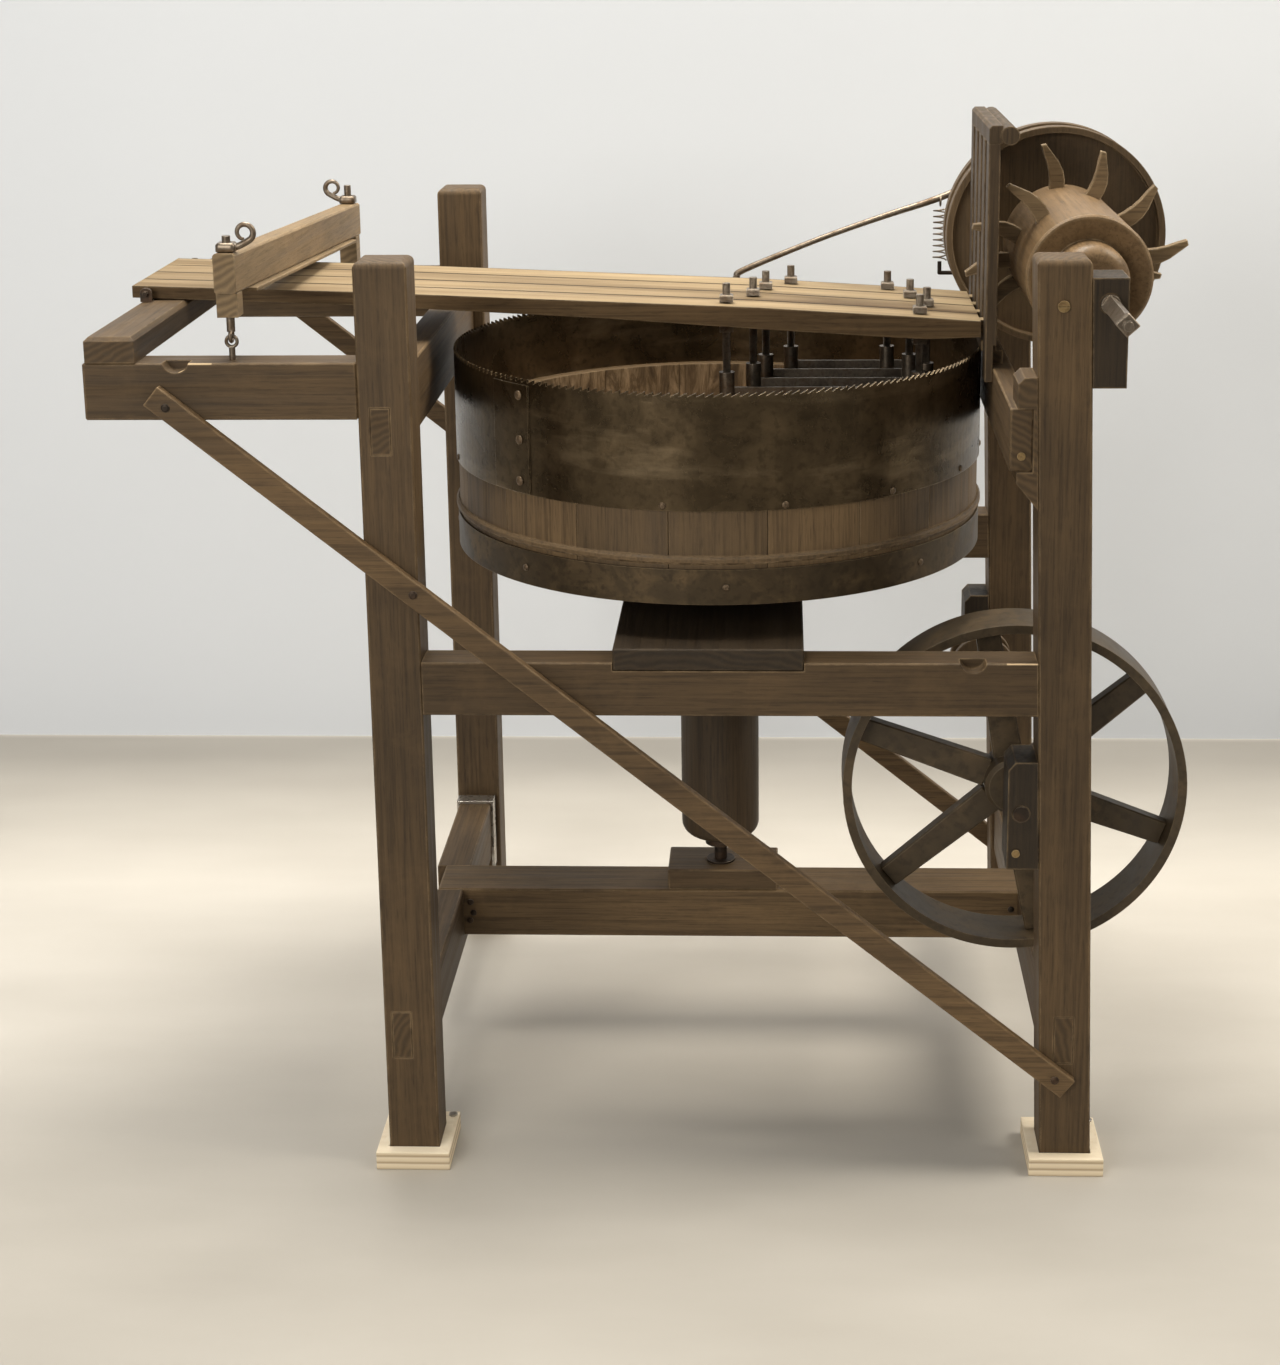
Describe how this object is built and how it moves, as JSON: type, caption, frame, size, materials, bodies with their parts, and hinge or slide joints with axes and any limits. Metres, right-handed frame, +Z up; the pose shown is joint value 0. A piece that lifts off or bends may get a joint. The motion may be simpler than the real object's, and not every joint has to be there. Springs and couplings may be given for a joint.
{
  "type": "hand-cranked chopping machine with a turning tub",
  "caption": "Aged timber frame holding a turning stave tub with a toothed iron band, pivoted knife levers, a pegged drum lifting them, a flywheel and a spring pawl.",
  "frame": {"origin": "centre of the overall footprint, on the floor under the foot sockets", "axes": "+X from the lever-tail end toward the drum end, +Y from the front posts to the back posts, +Z up"},
  "size_m": [1.093, 0.7526, 1.034],
  "materials": {
    "frame_wood": "aged, dark brown, satin",
    "comb_wood": "aged, edges worn light",
    "bearing_wood": "aged, oiled",
    "bar_wood": "tan, lighter, matt",
    "lever_wood": "aged, tops worn light",
    "plywood": "pale bare plies",
    "tub_wood": "aged, matt",
    "block_wood": "chopped end grain, pale",
    "spindle_wood": "turned, dark",
    "drum_wood": "turned, worn satin",
    "peg_wood": "worn smooth",
    "pulley_wood": "turned, dark",
    "dark_iron": "near-black, matt",
    "hoop_iron": "brown oxide",
    "band_iron": "rolled sheet, brown oxide",
    "rivet_iron": "worn heads",
    "wheel_iron": "brown oxide",
    "worn_steel": "dull, stained",
    "bright_steel": "clean strap steel",
    "knife_steel": "dark blades, brighter rods and nuts",
    "dull_brass": "tarnished"
  },
  "bodies": {
    "frame": {"left_posts": "frame_wood", "right_posts": "frame_wood", "mid_rails": "frame_wood", "lever_arms": "frame_wood", "arm_crossbeam": "frame_wood", "upper_side_rail": "frame_wood", "lower_side_rails": "frame_wood", "lower_stretcher": "frame_wood", "thrust_block": "frame_wood", "bearing_board": "frame_wood", "diagonal_braces": "frame_wood", "comb_beam": "frame_wood", "comb": "comb_wood", "bearing_blocks": "bearing_wood", "hold_bar": "bar_wood", "foot_sockets": "plywood", "socket_screws": "bright_steel", "lever_pivot": "dark_iron", "frame_nails": "dark_iron", "frame_screws": "dull_brass", "pivot_cup": "dark_iron", "rail_stirrup": "bright_steel", "bar_bolts": "worn_steel", "curl_nuts": "worn_steel", "pawl_bracket": "dark_iron", "pawl_spring": "worn_steel", "spring_hook": "dark_iron"},
    "tub": {"tub_staves": "tub_wood", "tub_floor": "tub_wood", "chopping_block": "block_wood", "tub_hoop": "hoop_iron", "ratchet_band": "band_iron", "band_rivets": "rivet_iron", "tub_cross_arms": "tub_wood", "spindle": "spindle_wood", "spindle_pivot": "dark_iron"},
    "drum": {"drum": "drum_wood", "drum_pegs": "peg_wood", "drum_shaft": "worn_steel", "drive_pulley": "pulley_wood"},
    "flywheel": {"flywheel_rim": "wheel_iron", "flywheel_spokes": "wheel_iron", "flywheel_shaft": "dark_iron", "small_pulley": "pulley_wood"},
    "pawl": {"pawl": "worn_steel"},
    "lever_1": {"lever_1": "lever_wood", "knife_1": "knife_steel"},
    "lever_2": {"lever_2": "lever_wood", "knife_2": "knife_steel"},
    "lever_3": {"lever_3": "lever_wood", "knife_3": "knife_steel"},
    "lever_4": {"lever_4": "lever_wood", "knife_4": "knife_steel"}
  },
  "joints": [
    {"name": "tub_turn", "type": "hinge", "parent": "frame", "child": "tub", "pos_m": [0.0525, 0.04865, 0.1994], "axis": [0, 0, 1], "continuous": true},
    {"name": "drum_turn", "type": "hinge", "parent": "frame", "child": "drum", "pos_m": [0.4255, 0.04865, 0.888], "axis": [0, 1, 0], "continuous": true},
    {"name": "flywheel_turn", "type": "hinge", "parent": "frame", "child": "flywheel", "pos_m": [0.3545, 0.04865, 0.384], "axis": [0, 1, 0], "continuous": true},
    {"name": "pawl_lift", "type": "hinge", "parent": "frame", "child": "pawl", "pos_m": [0.3925, 0.32565, 0.951], "axis": [0, 1, 0], "range_deg": [0, 9], "stiffness_Nm_per_rad": 0.5, "springref_deg": -17.19, "deforming": ["pawl_spring"]},
    {"name": "lever_1_lift", "type": "hinge", "parent": "frame", "child": "lever_1", "pos_m": [-0.5295, 0.04865, 0.868], "axis": [0, -1, 0], "range_deg": [0, 1.7]},
    {"name": "lever_2_lift", "type": "hinge", "parent": "frame", "child": "lever_2", "pos_m": [-0.5295, 0.04865, 0.868], "axis": [0, -1, 0], "range_deg": [0, 1.7]},
    {"name": "lever_3_lift", "type": "hinge", "parent": "frame", "child": "lever_3", "pos_m": [-0.5295, 0.04865, 0.868], "axis": [0, -1, 0], "range_deg": [0, 1.7]},
    {"name": "lever_4_lift", "type": "hinge", "parent": "frame", "child": "lever_4", "pos_m": [-0.5295, 0.04865, 0.868], "axis": [0, -1, 0], "range_deg": [0, 1.7]}
  ]
}
